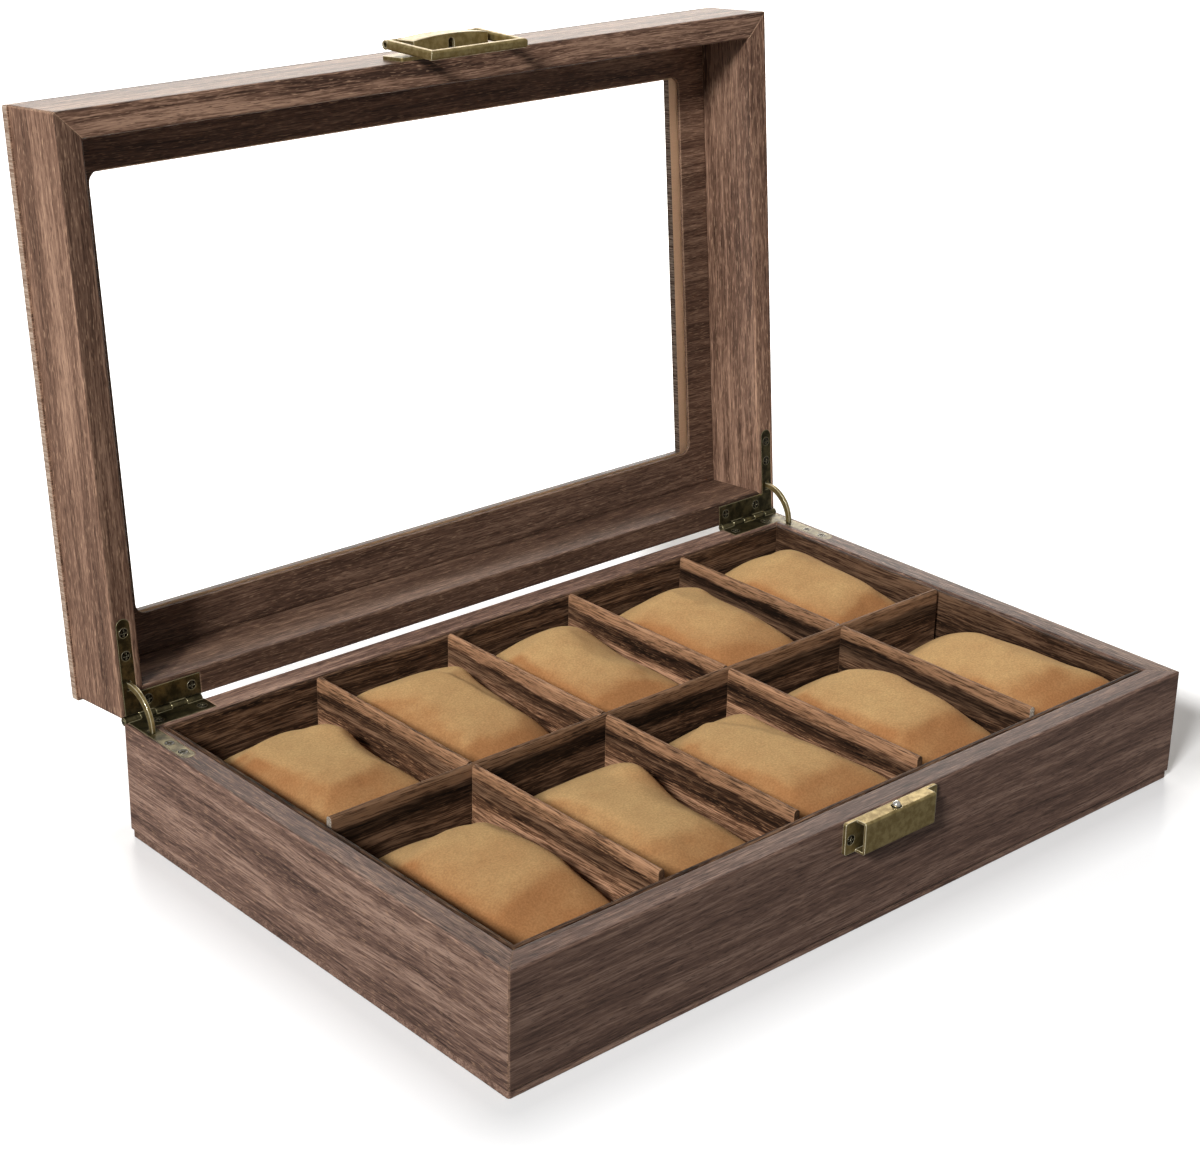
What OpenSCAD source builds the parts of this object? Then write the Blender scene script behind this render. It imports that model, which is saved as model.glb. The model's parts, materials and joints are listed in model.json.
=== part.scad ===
// Watch box: a mitred base with ten cushioned slots, and a windowed lid that
// opens on two corner stay hinges and closes with a bail clasp over a catch.
// The origin is the centre of the underside. +X is right, -Y is the front, +Z is up.
// Everything on the lid is drawn closed, then turned open about the hinge line.

/* [Box] */
// Outer width, left to right
box_w = 301; // [240:1:400]
// Outer depth, front to back
box_d = 195.5; // [160:1:260]
// Height of the base, with its bottom panel
base_h = 41; // [38:0.5:60]
// Height of the lid, with its top panel
lid_h = 30; // [28:0.5:45]
// Thickness of the base's four walls
wall_t = 8.8; // [8:0.1:12]
// Thickness of the lid's four walls
lid_wall_t = 9.2; // [8:0.1:12]
// Gap between the two rims when the lid is closed
rim_gap = 0.3; // [0.3:0.05:1]
// Radius on the rims' edges and the upright corners
edge_r = 0.8; // [0.3:0.1:1.5]
// Angle between the two rims when the lid is fully open
open_angle = 95; // [80:1:105]

/* [Base panels] */
// Thickness of the bottom panel
bottom_t = 3; // [2:0.1:5]
// How far the bottom panel stands in from the walls
bottom_inset = 0.6; // [0.2:0.1:2]
// Thickness of the lining boards inside the walls
lining_t = 2.2; // [1.5:0.1:4]
// Gap that the wrapping leaves between a wall and its lining board
lining_gap = 0.2; // [0.1:0.05:0.6]
// How far the lining boards' tops stand below the rim
lining_drop = 0.3; // [0.2:0.1:4]
// Thickness of the lining sheet on the floor
floor_t = 0.8; // [0.4:0.1:2]

/* [Dividers] */
// Thickness of the divider boards
divider_t = 2.4; // [1.6:0.1:4]
// How far the dividers' tops stand above the rim (negative is below it)
divider_rise = 1.2; // [-8:0.1:3]
// Gap at each end of a divider
divider_end_gap = 1.8; // [0.2:0.1:3]
// Side clearance in the halving joints
slot_gap = 0.15; // [0.05:0.05:0.5]
// How far the divider grid sits to the right of the box's centre
grid_x = 2; // [-4:0.1:4]
// How far the divider grid sits behind the box's centre
grid_y = 2.6; // [-4:0.1:4]

/* [Cushions] */
// Height of a cushion at its crown
cushion_h = 34; // [20:0.5:36]
// Clearance at a cushion's sides
cushion_gap = 0.8; // [0.4:0.1:3]
// Clearance at a cushion's ends
cushion_end_gap = 2; // [0.4:0.1:5]
// Squareness of a cushion's outline, where 2 is an ellipse
cushion_square = 7; // [3:0.5:8]
// Fullness of a cushion's upper half, where 2 is round
cushion_full = 2.5; // [2:0.1:4]

/* [Window] */
// Thickness of the lid's top panel
top_t = 2.8; // [2:0.1:5]
// How far the top panel overhangs the lid's walls at the back, left and right
top_overhang = 0.8; // [0:0.1:2]
// Width of the top panel's border at the front and back of its window
top_border = 24.2; // [16:0.1:45]
// Width of the top panel's border at the left and right of its window
top_side_border = 25.2; // [16:0.1:45]
// Thickness of the glass
glass_t = 1.1; // [0.8:0.1:3]
// Thickness of the frame that holds the glass from inside
frame_t = 1.1; // [0.8:0.1:4]
// Width of that frame's border, from the lid's outer face
frame_border = 23.5; // [15:0.5:45]
// Width of the inner window frame's borders at the left and right, from the lid's edge
frame_side_border = 22.9; // [15:0.1:45]
// How far the top panel's window sits to the right of the lid's middle (negative is left)
window_shift = -0.7; // [-3:0.1:3]
// How far the inner frame's window sits to the right of the lid's middle (negative is left)
frame_shift = 0.7; // [-3:0.1:3]
// Radius of the inner frame's window corners
frame_corner_r = 4; // [2:0.5:12]
// Gap between the lid's walls and what lies between them
pane_gap = 0.2; // [0.1:0.05:1]

/* [Hinges] */
// Distance of the hinge line behind the box
hinge_out = 1; // [0.9:0.05:1.2]
// Thickness of a hinge leaf
leaf_t = 1; // [0.8:0.1:1.5]
// Width of the leaf's long arm, along the side wall
arm_w = 5; // [4.4:0.1:5.6]
// Length of the leaf's long arm
arm_len = 33.5; // [30:0.5:50]
// Length of the leaf's short arm, along the back wall
short_len = 30.5; // [26:0.5:45]
// Width of the leaf's short arm
short_w = 7.7; // [6.5:0.1:7.8]
// Distance of the long arm's outer screw from the arm's end
arm_screw_in = 4.7; // [3:0.1:8]
// Spacing of the screws along the long arm
arm_screw_gap = 7.9; // [6:0.1:12]
// Distance of the short arm's inner screw from the arm's end
short_screw_in = 3.4; // [2.5:0.1:6]
// Spacing of the screws along the short arm
short_screw_gap = 16.5; // [10:0.5:20]
// Rim left outside the long arm
leaf_margin = 1.6; // [0.8:0.1:2]
// Outer radius of the hinge barrel
barrel_r = 1.4; // [1.2:0.05:1.6]
// Radius of the hinge pin
hinge_pin_r = 0.75; // [0.5:0.05:0.9]
// Running clearance of the pins, measured on the radius
pin_gap = 0.05; // [0.02:0.01:0.1]
// Outer radius of the curved stay, about the hinge line
stay_r = 12.7; // [12:0.1:14]
// Width of the stay at its middle
stay_w = 2.3; // [1.8:0.1:3]
// Width of the stay at its ends
stay_end_w = 1.5; // [1.2:0.1:1.8]
// Thickness of the stay
stay_t = 1.2; // [0.8:0.1:1.6]
// Length of the cross pin in each end of the stay
stay_head_len = 3.6; // [3:0.1:3.8]

/* [Screws] */
// Radius of a screw's countersunk head
screw_head_r = 1.7; // [1.3:0.05:1.9]
// Radius of a screw's shank
screw_r = 0.85; // [0.6:0.05:1]
// Length of a screw
screw_len = 6.5; // [4:0.5:7.5]

/* [Catch] */
// Distance of the clasp and catch to the right of the box's centre
clasp_x = 1.5; // [-20:0.1:20]
// Width of the catch's back plate
plate_w = 41.6; // [38:0.1:60]
// Height of the catch
catch_h = 10.9; // [8:0.1:11.3]
// How far the catch's top stands below the base's rim
catch_drop = 0.2; // [0:0.1:1]
// Thickness of the catch's back plate
catch_plate_t = 1.2; // [0.8:0.1:1.3]
// Width of the catch's raised block
block_w = 32; // [24:0.5:33]
// How far the block stands out from the box
block_out = 5; // [4.6:0.1:6]
// Thickness of the block's sheet metal
block_t = 0.8; // [0.5:0.05:1]
// Radius of the spring ball in the top of the block
ball_r = 1.4; // [1.1:0.05:1.5]
// Height of the ball's centre above the block
ball_up = 0.3; // [0:0.05:0.5]
// How far the ball can be pressed down
ball_travel = 1.2; // [0.6:0.1:1.6]

/* [Clasp] */
// How far the clasp's back plate reaches past the bail on each side
hasp_plate_over = 0.4; // [0:0.1:2]
// Thickness of the clasp's back plate
hasp_plate_t = 1.4; // [1:0.1:1.6]
// Height of that plate above the lid's rim
hasp_plate_up = 1; // [0.5:0.1:2]
// Height of the clasp's pivot above the lid's rim
pivot_up = 10.4; // [9.5:0.1:13]
// Distance of the pivot in front of the lid
pivot_out = 5; // [4.7:0.1:6]
// Outer radius of the clasp's barrel
hasp_barrel_r = 1.65; // [1.5:0.05:2.2]
// Radius of the clasp's pin
hasp_pin_r = 0.9; // [0.6:0.05:1]
// Width of the bail, outside
bail_w = 41; // [39:0.1:58]
// Length of the bail, from its pivot to its free edge
bail_len = 25.3; // [25:0.1:32]
// Width of the bail's rails
rail_w = 2.8; // [2:0.1:2.9]
// Thickness of the bail's rails
rail_t = 3.2; // [2:0.1:3.3]
// Angle at which the bail leans in to the box when it is shut
bail_lean = 5; // [3:0.1:5]
// Thickness of the cover's sheet metal
cover_t = 0.9; // [0.6:0.05:1]
// Height of the cover's crown in front of the lid
cover_out = 7.4; // [7.1:0.1:8]
// Radius of the cover's crown, from side to side
cover_round = 118; // [80:1:200]
// Width of the arched notch in the cover's wall
notch_w = 2.4; // [2.3:0.1:3]

/* [Hidden] */
$fn = 64;

columns = 5;
fit = 0.1;          // clearance of a let-in leaf in its recess
seat_gap = 0.05;    // clearance of a screw in its hole
eps = 0.01;         // overrun of a cut past the face that it opens
far = 2 * (box_w + box_d);

// Heights
lid_z = base_h + rim_gap;                      // the lid's rim when closed
floor_z = bottom_t + floor_t;
divider_top = base_h + divider_rise;
lining_top = base_h - lining_drop;

// Inside of the base, and its ten slots
inset = wall_t + lining_gap + lining_t;
inner_x = box_w / 2 - inset;
inner_y = box_d / 2 - inset;
pitch_x = (2 * inner_x + divider_t) / columns;
slot_w = pitch_x - divider_t;
slot_d = inner_y - divider_t / 2;
divider_h = divider_top - floor_z;
lap_z = floor_z + divider_h / 2;

// Hinge line and leaves
hinge_y = box_d / 2 + hinge_out;
hinge_z = base_h + rim_gap / 2;
arm_x = box_w / 2 - leaf_margin - arm_w / 2;
arm_end_y = box_d / 2 - arm_len;
barrel_inset = 0.5;
barrel_end = box_w / 2 - barrel_inset;
barrel_start = box_w / 2 - short_len + barrel_inset;
knuckles = 5;
knuckle_len = (barrel_end - barrel_start) / knuckles;
knuckle_gap = 0.1;
arm_screws_y = [arm_end_y + arm_screw_in, arm_end_y + arm_screw_in + arm_screw_gap];
short_start = box_w / 2 - short_len;
short_screws_x = [short_start + short_screw_in, short_start + short_screw_in + short_screw_gap];
short_screw_y = box_d / 2 - 0.55 * short_w;

// Curved stay: its ends stop under the leaves when the lid is fully open
stay_mid_r = stay_r - stay_end_w / 2;
stay_head_r = 0.55;
stay_seat = leaf_t + rim_gap / 2 + stay_head_r + 0.1;
stay_engage = asin(stay_seat / stay_mid_r);
stay_half = open_angle / 2 + stay_engage;
stay_slot_gap = 0.2;
pocket_inner_r = stay_r - stay_w - 0.5;
pocket_outer_r = stay_r + 0.5;
pocket_w = stay_head_len + 0.6;
pocket_back = 4;     // wood left between the pocket and the back face
crescent_shift = (stay_w - stay_end_w) / (1 - cos(stay_half));
crescent_r = stay_r - stay_w + crescent_shift;

// Catch
catch_top = base_h - catch_drop;
front_y = -box_d / 2;
ball_y = front_y - (catch_plate_t + block_out - block_t) / 2;
ball_z = catch_top + ball_up;
ball_hole_r = ball_r + 0.3;
foot_size = [5, block_out - block_t - catch_plate_t - 0.6, 0.8];
foot_top = catch_top - block_t - 0.2;
spring_t = 0.4;
spring_rise = foot_top - foot_size[2] - seat_gap - (catch_top - catch_h + block_t + seat_gap);
spring_half = 10;
spring_r = (spring_half * spring_half + spring_rise * spring_rise) / (2 * spring_rise);
flange_w = (plate_w - block_w) / 2;
catch_screw_x = block_w / 2 + flange_w / 2;
catch_screw_z = catch_top - 0.56 * catch_h;

// Clasp
pivot_z = lid_z + pivot_up;
pivot_y = front_y - pivot_out;
hasp_knuckle_half = bail_w / 2 - 11.8;
cover_side_gap = 1.9;  // between the cover and a side rail
cover_half = bail_w / 2 - rail_w - cover_side_gap;
pin_end_gap = 1.5;     // how far the pin's ends lie inside the bail's knuckles
wall_near = 0.7;     // height of the cover's wall above the lid's rim
wall_thick = 1;
rail_round = 0.9;
bail_knuckle_in = cover_half;
plate_top_up = pivot_up + hasp_barrel_r;
clasp_screw_x = 12;
clasp_screw_up = 5.6;

wood = [0.36, 0.25, 0.20];
lining_wood = [0.33, 0.23, 0.18];
suede = [0.76, 0.57, 0.33];
bronze = [0.30, 0.27, 0.17];
brass = [0.62, 0.56, 0.37];
nickel = [0.80, 0.79, 0.76];

// ---------- shared shapes ----------

// A rectangle centred on the origin, with round corners.
module rounded_rect(w, d, r) {
    square([w - 2 * r, d], center = true);
    square([w, d - 2 * r], center = true);
    for (sx = [-1, 1], sy = [-1, 1])
        translate([sx * (w / 2 - r), sy * (d / 2 - r)]) circle(r);
}

// Turns the front side's piece to side i: 0 front, 1 right, 2 back, 3 left.
module on_side(i) { rotate([0, 0, 90 * i]) children(); }

// A board's section: thickness along x and height along y, both top edges round.
module board_section(t, h, r) {
    square([t, h - r]);
    translate([r, 0]) square([t - 2 * r, h]);
    translate([r, h - r]) circle(r);
    translate([t - r, h - r]) circle(r);
}

// A board with mitred ends whose outer face lies at -y = reach.
module mitred_board(half_len, reach, t, h, r) {
    intersection() {
        translate([-half_len, -reach, 0])
            rotate([90, 0, 90]) linear_extrude(2 * half_len) board_section(t, h, r);
        linear_extrude(h) polygon([
            [-half_len, -reach], [half_len, -reach],
            [half_len - t, t - reach], [t - half_len, t - reach]
        ]);
    }
}

// The half length and the reach of side i, for a rectangle w by d.
function side_len(i, w, d) = (i % 2 == 0 ? w : d) / 2;
function side_reach(i, w, d) = (i % 2 == 0 ? d : w) / 2;

// Mirrors a right-hand piece to the left for side = -1.
module handed(side) { if (side < 0) mirror([1, 0, 0]) children(); else children(); }

// Mirrors a piece of the base half across the hinge plane, to the lid half.
module lid_half() { translate([0, 0, 2 * hinge_z]) mirror([0, 0, 1]) children(); }

// Turns what is drawn closed to the open position.
module opened() {
    translate([0, hinge_y, hinge_z]) rotate([-open_angle, 0, 0])
        translate([0, -hinge_y, -hinge_z]) children();
}

// A rod along X.
module rod_x(r, x0, x1) { translate([x0, 0, 0]) rotate([0, 90, 0]) cylinder(r = r, h = x1 - x0); }

// A countersunk screw with its head's face at the origin, driven towards -z.
module screw() {
    head_depth = screw_head_r - screw_r;
    difference() {
        union() {
            translate([0, 0, -head_depth]) cylinder(r1 = screw_r, r2 = screw_head_r, h = head_depth);
            translate([0, 0, -screw_len]) cylinder(r = screw_r, h = screw_len - head_depth + eps);
        }
        for (a = [0, 90]) rotate([0, 0, a])
            cube([1.3 * screw_head_r, 0.3 * screw_head_r, head_depth], center = true);
    }
}

// The hole that the screw passes through, with its countersink.
module screw_hole() {
    head_depth = screw_head_r - screw_r;
    translate([0, 0, -head_depth])
        cylinder(r1 = screw_r + seat_gap, r2 = screw_head_r + seat_gap, h = head_depth);
    translate([0, 0, -eps]) cylinder(r = screw_head_r + seat_gap, h = 1);
    translate([0, 0, -screw_len - 0.5]) cylinder(r = screw_r + seat_gap, h = screw_len + 0.5);
}

// ---------- base ----------

module bottom_panel() {
    color(wood) linear_extrude(bottom_t)
        rounded_rect(box_w - 2 * bottom_inset, box_d - 2 * bottom_inset, edge_r);
}

module base_wall(i) {
    color(wood) difference() {
        intersection() {
            translate([0, 0, bottom_t]) on_side(i)
                mitred_board(side_len(i, box_w, box_d), side_reach(i, box_w, box_d),
                    wall_t, base_h - bottom_t, edge_r);
            linear_extrude(base_h) rounded_rect(box_w, box_d, edge_r);
        }
        if (i == 0) catch_holes();
        else for (side = [-1, 1]) if (i == 2 || side == (i == 1 ? 1 : -1)) handed(side) hinge_recess();
    }
}

module lining(i) {
    clear = wall_t + lining_gap;
    color(lining_wood) translate([0, 0, floor_z]) on_side(i)
        mitred_board(side_len(i, box_w, box_d) - clear, side_reach(i, box_w, box_d) - clear,
            lining_t, lining_top - floor_z, edge_r);
}

module floor_lining() {
    color(lining_wood) translate([0, 0, bottom_t]) linear_extrude(floor_t)
        square([box_w - 2 * (wall_t + lining_gap), box_d - 2 * (wall_t + lining_gap)], center = true);
}

// A divider board standing on the floor along x, with a full round top.
module divider_board(half_len) {
    r = divider_t / 2;
    translate([-half_len, 0, floor_z]) rotate([90, 0, 90]) linear_extrude(2 * half_len) {
        translate([-r, 0]) square([divider_t, divider_h - r]);
        translate([0, divider_h - r]) circle(r);
    }
}

function divider_x(n) = grid_x + (n - (columns + 1) / 2 + 0.5) * pitch_x;

module long_divider() {
    color(lining_wood) difference() {
        translate([0, grid_y, 0]) divider_board(inner_x - divider_end_gap);
        for (n = [1 : columns - 1])
            translate([divider_x(n), grid_y, floor_z + divider_h / 4])
                cube([divider_t + 2 * slot_gap, 2 * divider_t, divider_h / 2 + slot_gap], center = true);
    }
}

module cross_divider(n) {
    color(lining_wood) difference() {
        translate([divider_x(n), 0, 0]) rotate([0, 0, 90]) divider_board(inner_y - divider_end_gap);
        translate([divider_x(n), grid_y, lap_z + divider_h / 2])
            cube([2 * divider_t, divider_t + 2 * slot_gap, divider_h], center = true);
    }
}

// ---------- cushions ----------

// Half-width factor of a cushion at height t, from -1 at its base to 1 at its crown.
function cushion_scale(t) =
    let (p = t < 0 ? 6 : cushion_full) pow(1 - pow(abs(t), p), 1 / p);

// One level of the cushion: a superellipse of the given half sizes.
module cushion_level(a, b) {
    steps = 28;
    linear_extrude(0.01) polygon([for (k = [0 : steps - 1])
        let (u = 360 * k / steps, c = cos(u), s = sin(u), m = 2 / cushion_square)
        [a * sign(c) * pow(abs(c), m), b * sign(s) * pow(abs(s), m)]]);
}

// A crowned cushion in column n. row is -1 in front and 1 at the back.
module cushion(n, row) {
    row_room = inner_y - row * grid_y - divider_t / 2;
    left = n == 1 ? -inner_x : divider_x(n - 1) + divider_t / 2;
    right = n == columns ? inner_x : divider_x(n) - divider_t / 2;
    x = (left + right) / 2;
    y = row * (divider_t / 2 + row_room / 2) + grid_y;
    a = slot_w / 2 - cushion_gap - abs(grid_x) / 2;
    b = row_room / 2 - cushion_end_gap;
    color(suede) translate([x, y, floor_z + cushion_h / 2])
        hull() for (t = [-0.97, -0.8, -0.3, 0, 0.3, 0.55, 0.75, 0.9, 0.98])
            translate([0, 0, t * cushion_h / 2]) cushion_level(a * cushion_scale(t), b * cushion_scale(t));
}

// ---------- hinges, drawn for the right-hand corner ----------

// Outline of a leaf: the long arm with its round end, and the short arm.
module leaf_outline(gap) {
    back = box_d / 2 - fit + gap;
    translate([arm_x, arm_end_y + arm_w / 2]) circle(arm_w / 2 + gap);
    translate([arm_x - arm_w / 2 - gap, arm_end_y + arm_w / 2])
        square([arm_w + 2 * gap, back - arm_end_y - arm_w / 2]);
    translate([short_start - gap, box_d / 2 - short_w - gap])
        square([arm_x + arm_w / 2 - short_start + 2 * gap, back - box_d / 2 + short_w + gap]);
}

// Places its children at each of a leaf's screws.
module at_leaf_screws() {
    for (y = arm_screws_y) translate([arm_x, y, base_h]) children();
    for (x = short_screws_x) translate([x, short_screw_y, base_h]) children();
}

// The ring about the hinge line that the stay travels in.
module stay_ring(inner, outer, width) {
    translate([arm_x - width / 2, hinge_y, hinge_z]) rotate([0, 90, 0]) difference() {
        cylinder(r = outer, h = width);
        translate([0, 0, -eps]) cylinder(r = inner, h = width + 2 * eps);
    }
}

// What the hinge needs cut from the walls: the leaf's recess, screw holes and the stay's pocket.
module hinge_recess() {
    translate([0, 0, base_h - leaf_t]) linear_extrude(leaf_t + 1) leaf_outline(fit);
    translate([barrel_start - fit, hinge_y - barrel_r - fit, base_h - leaf_t])
        cube([barrel_end - barrel_start + 2 * fit, 2 * barrel_r, leaf_t + 1]);
    at_leaf_screws() screw_hole();
    intersection() {
        stay_ring(pocket_inner_r, pocket_outer_r, pocket_w);
        translate([arm_x - pocket_w, box_d / 2 - arm_len, base_h - pocket_outer_r - 1])
            cube([2 * pocket_w, arm_len - pocket_back, pocket_outer_r + 1]);
    }
}

function knuckle_x(k) = barrel_start + k * knuckle_len;

// A leaf of the base half. parity 0 takes the first, third and fifth knuckles, 1 the others.
module leaf(parity) {
    own = [for (k = [0 : knuckles - 1]) if (k % 2 == parity) k];
    others = [for (k = [0 : knuckles - 1]) if (k % 2 != parity) k];
    difference() {
        union() {
            translate([0, 0, base_h - leaf_t]) linear_extrude(leaf_t) leaf_outline(0);
            for (k = own) {
                x0 = knuckle_x(k) + knuckle_gap / 2;
                x1 = knuckle_x(k + 1) - knuckle_gap / 2;
                translate([0, hinge_y, hinge_z]) rod_x(barrel_r, x0, x1);
                translate([x0, hinge_y - 2 * barrel_r, base_h - leaf_t])
                    cube([min(x1, arm_x + arm_w / 2) - x0, 2 * barrel_r, leaf_t]);
            }
        }
        for (k = others) translate([0, hinge_y, hinge_z])
            rod_x(barrel_r + 2 * fit, knuckle_x(k) - knuckle_gap / 2, knuckle_x(k + 1) + knuckle_gap / 2);
        translate([0, hinge_y, hinge_z]) rod_x(hinge_pin_r + pin_gap, barrel_start - 1, barrel_end + 1);
        at_leaf_screws() screw_hole();
        translate([arm_x - stay_t / 2 - stay_slot_gap, hinge_y - pocket_outer_r, base_h - leaf_t - eps])
            cube([stay_t + 2 * stay_slot_gap, pocket_outer_r - pocket_inner_r, leaf_t + 2 * eps]);
    }
}

module base_leaf(side) { color(bronze) handed(side) leaf(0); }

module lid_leaf(side) { color(bronze) opened() handed(side) lid_half() leaf(1); }

module hinge_pin(side) {
    color(bronze) handed(side) translate([0, hinge_y, hinge_z])
        rod_x(hinge_pin_r, barrel_start, barrel_end);
}

module base_leaf_screws() { color(bronze) for (side = [-1, 1]) handed(side) at_leaf_screws() screw(); }

module lid_leaf_screws() {
    color(bronze) opened() lid_half() for (side = [-1, 1]) handed(side) at_leaf_screws() screw();
}

// A crescent about the hinge line with a cross pin in each end, half way between the rims.
module stay(side) {
    tip = stay_half + 4;
    color(brass) handed(side) translate([arm_x, hinge_y, hinge_z]) rotate([-open_angle / 2, 0, 0])
        mirror([0, 1, 0]) {
            translate([-stay_t / 2, 0, 0]) rotate([90, 0, 90]) linear_extrude(stay_t) intersection() {
                difference() {
                    circle(stay_r, $fn = 128);
                    translate([-crescent_shift, 0]) circle(crescent_r, $fn = 128);
                }
                polygon([[0, 0], for (a = [-tip, -tip / 2, 0, tip / 2, tip])
                    2 * stay_r * [cos(a), sin(a)]]);
            }
            for (a = [-stay_half, stay_half]) rotate([a, 0, 0]) translate([0, stay_mid_r, 0])
                rod_x(stay_head_r, -stay_head_len / 2, stay_head_len / 2);
        }
}

// ---------- catch on the base's front ----------

module at_catch_screws() {
    for (s = [-1, 1])
        translate([clasp_x + s * catch_screw_x, front_y - catch_plate_t, catch_screw_z])
            rotate([90, 0, 0]) children();
}

module catch_holes() { at_catch_screws() screw_hole(); }

module catch_plate() {
    color(brass) difference() {
        union() {
            translate([clasp_x, front_y, catch_top - catch_h / 2]) rotate([90, 0, 0])
                linear_extrude(catch_plate_t) rounded_rect(plate_w, catch_h, edge_r);
            translate([clasp_x - block_w / 2, front_y, catch_top - catch_h])
                rotate([90, 0, 90]) mirror([1, 0, 0]) linear_extrude(block_w) block_section();
        }
        at_catch_screws() screw_hole();
        translate([clasp_x, ball_y, catch_top - 2 * block_t]) cylinder(r = ball_hole_r, h = 3 * block_t);
    }
}

// Section of the folded block: outwards along x, up along y, hollow behind its face.
module block_section() {
    difference() {
        union() {
            square([block_out - block_t, catch_h]);
            translate([0, block_t]) square([block_out, catch_h - 2 * block_t]);
            for (y = [block_t, catch_h - block_t]) translate([block_out - block_t, y]) circle(block_t);
        }
        translate([catch_plate_t, block_t])
            square([block_out - block_t - catch_plate_t, catch_h - 2 * block_t]);
    }
}

module catch_screws() { color(bronze) at_catch_screws() screw(); }

// The spring ball, its stem, and the foot that keeps it inside the block.
module catch_ball() {
    color(nickel) translate([clasp_x, ball_y, 0]) {
        translate([0, 0, ball_z]) sphere(ball_r);
        translate([0, 0, foot_top - eps]) cylinder(r = 0.6 * ball_r, h = ball_z - foot_top);
        translate([0, 0, foot_top - foot_size[2] / 2]) cube(foot_size, center = true);
    }
}

// A bowed leaf spring under the ball's foot.
module catch_spring() {
    base_z = catch_top - catch_h + block_t + seat_gap;
    color(nickel) translate([clasp_x, ball_y + foot_size[1] / 2, base_z])
        rotate([90, 0, 0]) linear_extrude(foot_size[1]) intersection() {
            translate([0, spring_rise - spring_r]) difference() {
                circle(spring_r, $fn = 128);
                circle(spring_r - spring_t, $fn = 128);
            }
            translate([-spring_half - 1, 0]) square([2 * spring_half + 2, spring_rise]);
        }
}

// ---------- lid, drawn closed ----------

module lid_wall(i) {
    color(wood) opened() difference() {
        translate([0, 0, lid_z]) intersection() {
            translate([0, 0, lid_h - top_t]) mirror([0, 0, 1]) on_side(i)
                mitred_board(side_len(i, box_w, box_d), side_reach(i, box_w, box_d),
                    lid_wall_t, lid_h - top_t, edge_r);
            linear_extrude(lid_h) rounded_rect(box_w, box_d, edge_r);
        }
        if (i == 0) at_clasp_screws() screw_hole();
        else for (side = [-1, 1])
            if (i == 2 || side == (i == 1 ? 1 : -1)) lid_half() handed(side) hinge_recess();
    }
}

module top_panel() {
    w = box_w + 2 * top_overhang;
    d = box_d + top_overhang;
    color(wood) opened() translate([0, 0, lid_z + lid_h - top_t]) linear_extrude(top_t) difference() {
        translate([0, top_overhang / 2]) rounded_rect(w, d, edge_r);
        translate([window_shift, 0])
            square([box_w - 2 * top_side_border, box_d - 2 * top_border], center = true);
    }
}

pane_w = box_w - 2 * (lid_wall_t + pane_gap);
pane_d = box_d - 2 * (lid_wall_t + pane_gap);
glass_z = lid_z + lid_h - top_t - glass_t;

module window_glass() {
    color([0.85, 0.92, 0.92, 0.3]) opened() translate([0, 0, glass_z])
        linear_extrude(glass_t) square([pane_w, pane_d], center = true);
}

module window_frame() {
    color(wood) opened() translate([0, 0, glass_z - frame_t]) linear_extrude(frame_t) difference() {
        square([pane_w, pane_d], center = true);
        translate([frame_shift, 0])
            rounded_rect(box_w - 2 * frame_side_border, box_d - 2 * frame_border, frame_corner_r);
    }
}

// ---------- clasp on the lid's front, drawn closed ----------

// Places its children at the clasp's pivot, centred on the clasp.
module at_pivot() { translate([clasp_x, pivot_y, pivot_z]) children(); }

module at_clasp_screws() {
    for (s = [-1, 1])
        translate([clasp_x + s * clasp_screw_x, front_y - hasp_plate_t, lid_z + clasp_screw_up])
            rotate([90, 0, 0]) children();
}

// Back plate, whose upper edge curls up round the pin in the middle.
module clasp_plate() {
    plate_h = plate_top_up - hasp_plate_up;
    half = hasp_knuckle_half;
    color(brass) opened() difference() {
        union() {
            translate([clasp_x, front_y, lid_z + hasp_plate_up + plate_h / 2]) rotate([90, 0, 0])
                linear_extrude(hasp_plate_t) rounded_rect(bail_w + 2 * hasp_plate_over, plate_h, edge_r);
            at_pivot() rod_x(hasp_barrel_r, -half, half);
            translate([clasp_x - half, pivot_y, pivot_z + hasp_pin_r])
                cube([2 * half, pivot_out - hasp_plate_t / 2, hasp_barrel_r - hasp_pin_r]);
        }
        at_pivot() rod_x(hasp_pin_r + pin_gap, -half - 1, half + 1);
        at_clasp_screws() screw_hole();
    }
}

module clasp_screws() { color(brass) opened() at_clasp_screws() screw(); }

module clasp_pin() {
    reach = bail_w / 2 - pin_end_gap;
    color(brass) opened() at_pivot() rod_x(hasp_pin_r, -reach, reach);
}

// Section of a rail: a rectangle with round edges.
module rail_section() { rounded_rect(rail_w, rail_t, rail_round); }

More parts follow.
